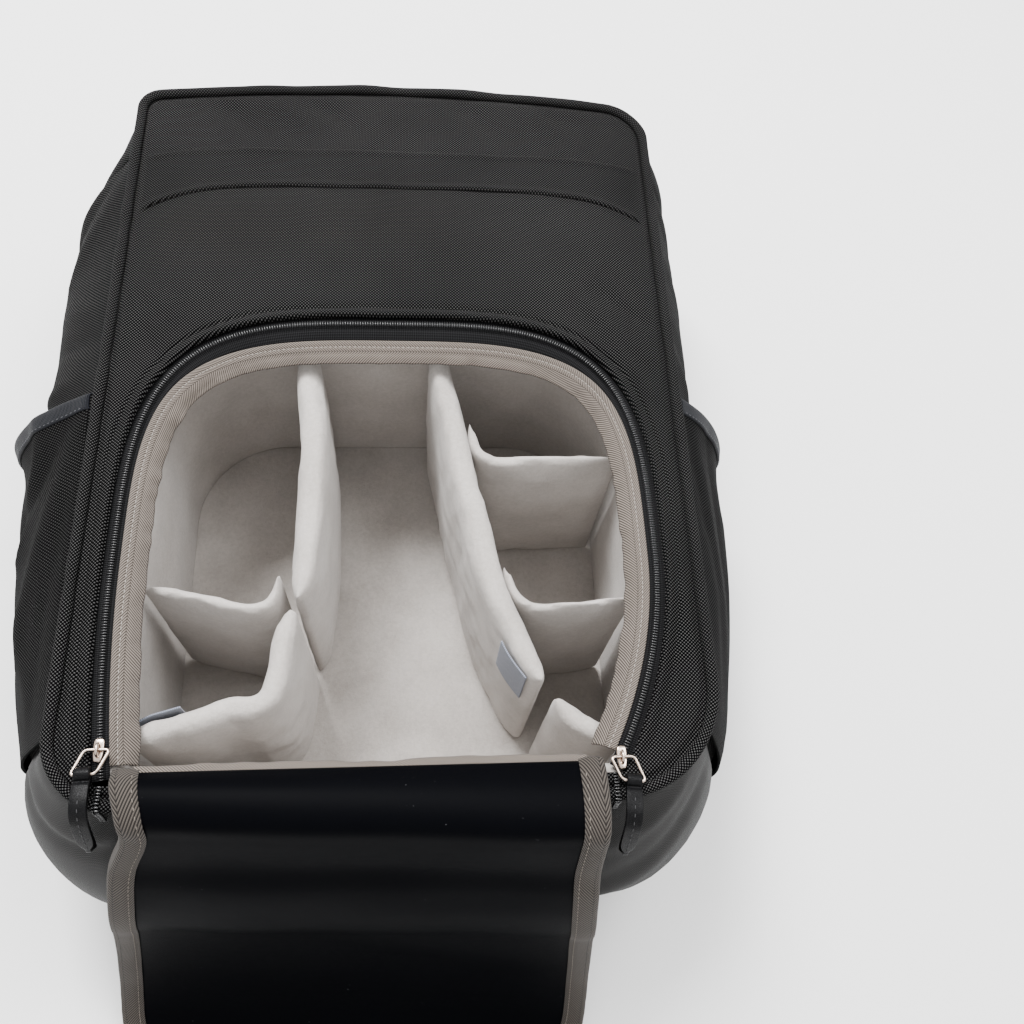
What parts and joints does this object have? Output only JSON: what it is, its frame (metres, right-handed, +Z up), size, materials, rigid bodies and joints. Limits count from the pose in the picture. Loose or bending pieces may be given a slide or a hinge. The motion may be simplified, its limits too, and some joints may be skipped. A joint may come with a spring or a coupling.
{
  "type": "camera backpack",
  "caption": "Camera backpack lying on its back, its U-shaped front zip open and the flap folded down, showing a padded insert with soft dividers.",
  "frame": {"origin": "on the ground, at the middle of the spine pad's flat face that the bag lies on", "axes": "+Z up out of the bag's front, +Y towards the bag's top end, +X to the right of someone who looks at the front"},
  "size_m": [0.467, 0.6601, 0.2064],
  "materials": {
    "shell_cloth": "coarse black basket-weave nylon",
    "base_cloth": "fine dark grey nylon",
    "back_cloth": "plain black nylon over foam",
    "fleece": "light warm grey brushed loop fleece",
    "hook_patch": "blue-grey hook tape",
    "zip_tape": "flat black woven tape",
    "zip_teeth": "black moulded coil",
    "binding_tape": "taupe herringbone tape",
    "lining_cloth": "smooth black satin-weave nylon",
    "hem_tape": "blue-black folded tape",
    "pull_metal": "polished warm nickel",
    "pull_leather": "smooth black leather",
    "webbing": "black woven webbing"
  },
  "bodies": {
    "root": {"front_panel": "shell_cloth", "front_band": "shell_cloth", "front_piping": "shell_cloth", "side_panel_left": "shell_cloth", "side_panel_right": "shell_cloth", "top_panel": "shell_cloth", "base_panel": "base_cloth", "back_panel": "back_cloth", "insert_floor": "fleece", "insert_wall": "fleece", "divider_long_left": "fleece", "divider_lower_left": "fleece", "divider_cross_left": "fleece", "divider_long_right": "fleece", "divider_lower_right": "fleece", "divider_cross_right_upper": "fleece", "divider_cross_right_lower": "fleece", "patch_right": "hook_patch", "patch_left": "hook_patch", "zip_tape": "zip_tape", "zip_chain": "zip_teeth", "opening_binding": "binding_tape", "hinge_binding": "binding_tape", "flap_shell": "shell_cloth", "flap_lining": "lining_cloth", "flap_binding": "binding_tape", "pocket_left": "shell_cloth", "pocket_hem_left": "hem_tape", "pocket_right": "shell_cloth", "pocket_hem_right": "hem_tape", "zip_tail_left": "zip_teeth", "zip_tail_right": "zip_teeth", "slider_left": "pull_metal", "slider_right": "pull_metal", "pull_ring_left": "pull_metal", "pull_ring_right": "pull_metal", "pull_tab_left": "pull_leather", "pull_tab_right": "pull_leather", "shoulder_strap_left": "back_cloth", "shoulder_strap_right": "back_cloth", "strap_webbing_left": "webbing", "strap_webbing_right": "webbing", "spine_pad": "back_cloth", "lumbar_pad": "back_cloth", "grab_handle": "webbing"}
  },
  "joints": []
}
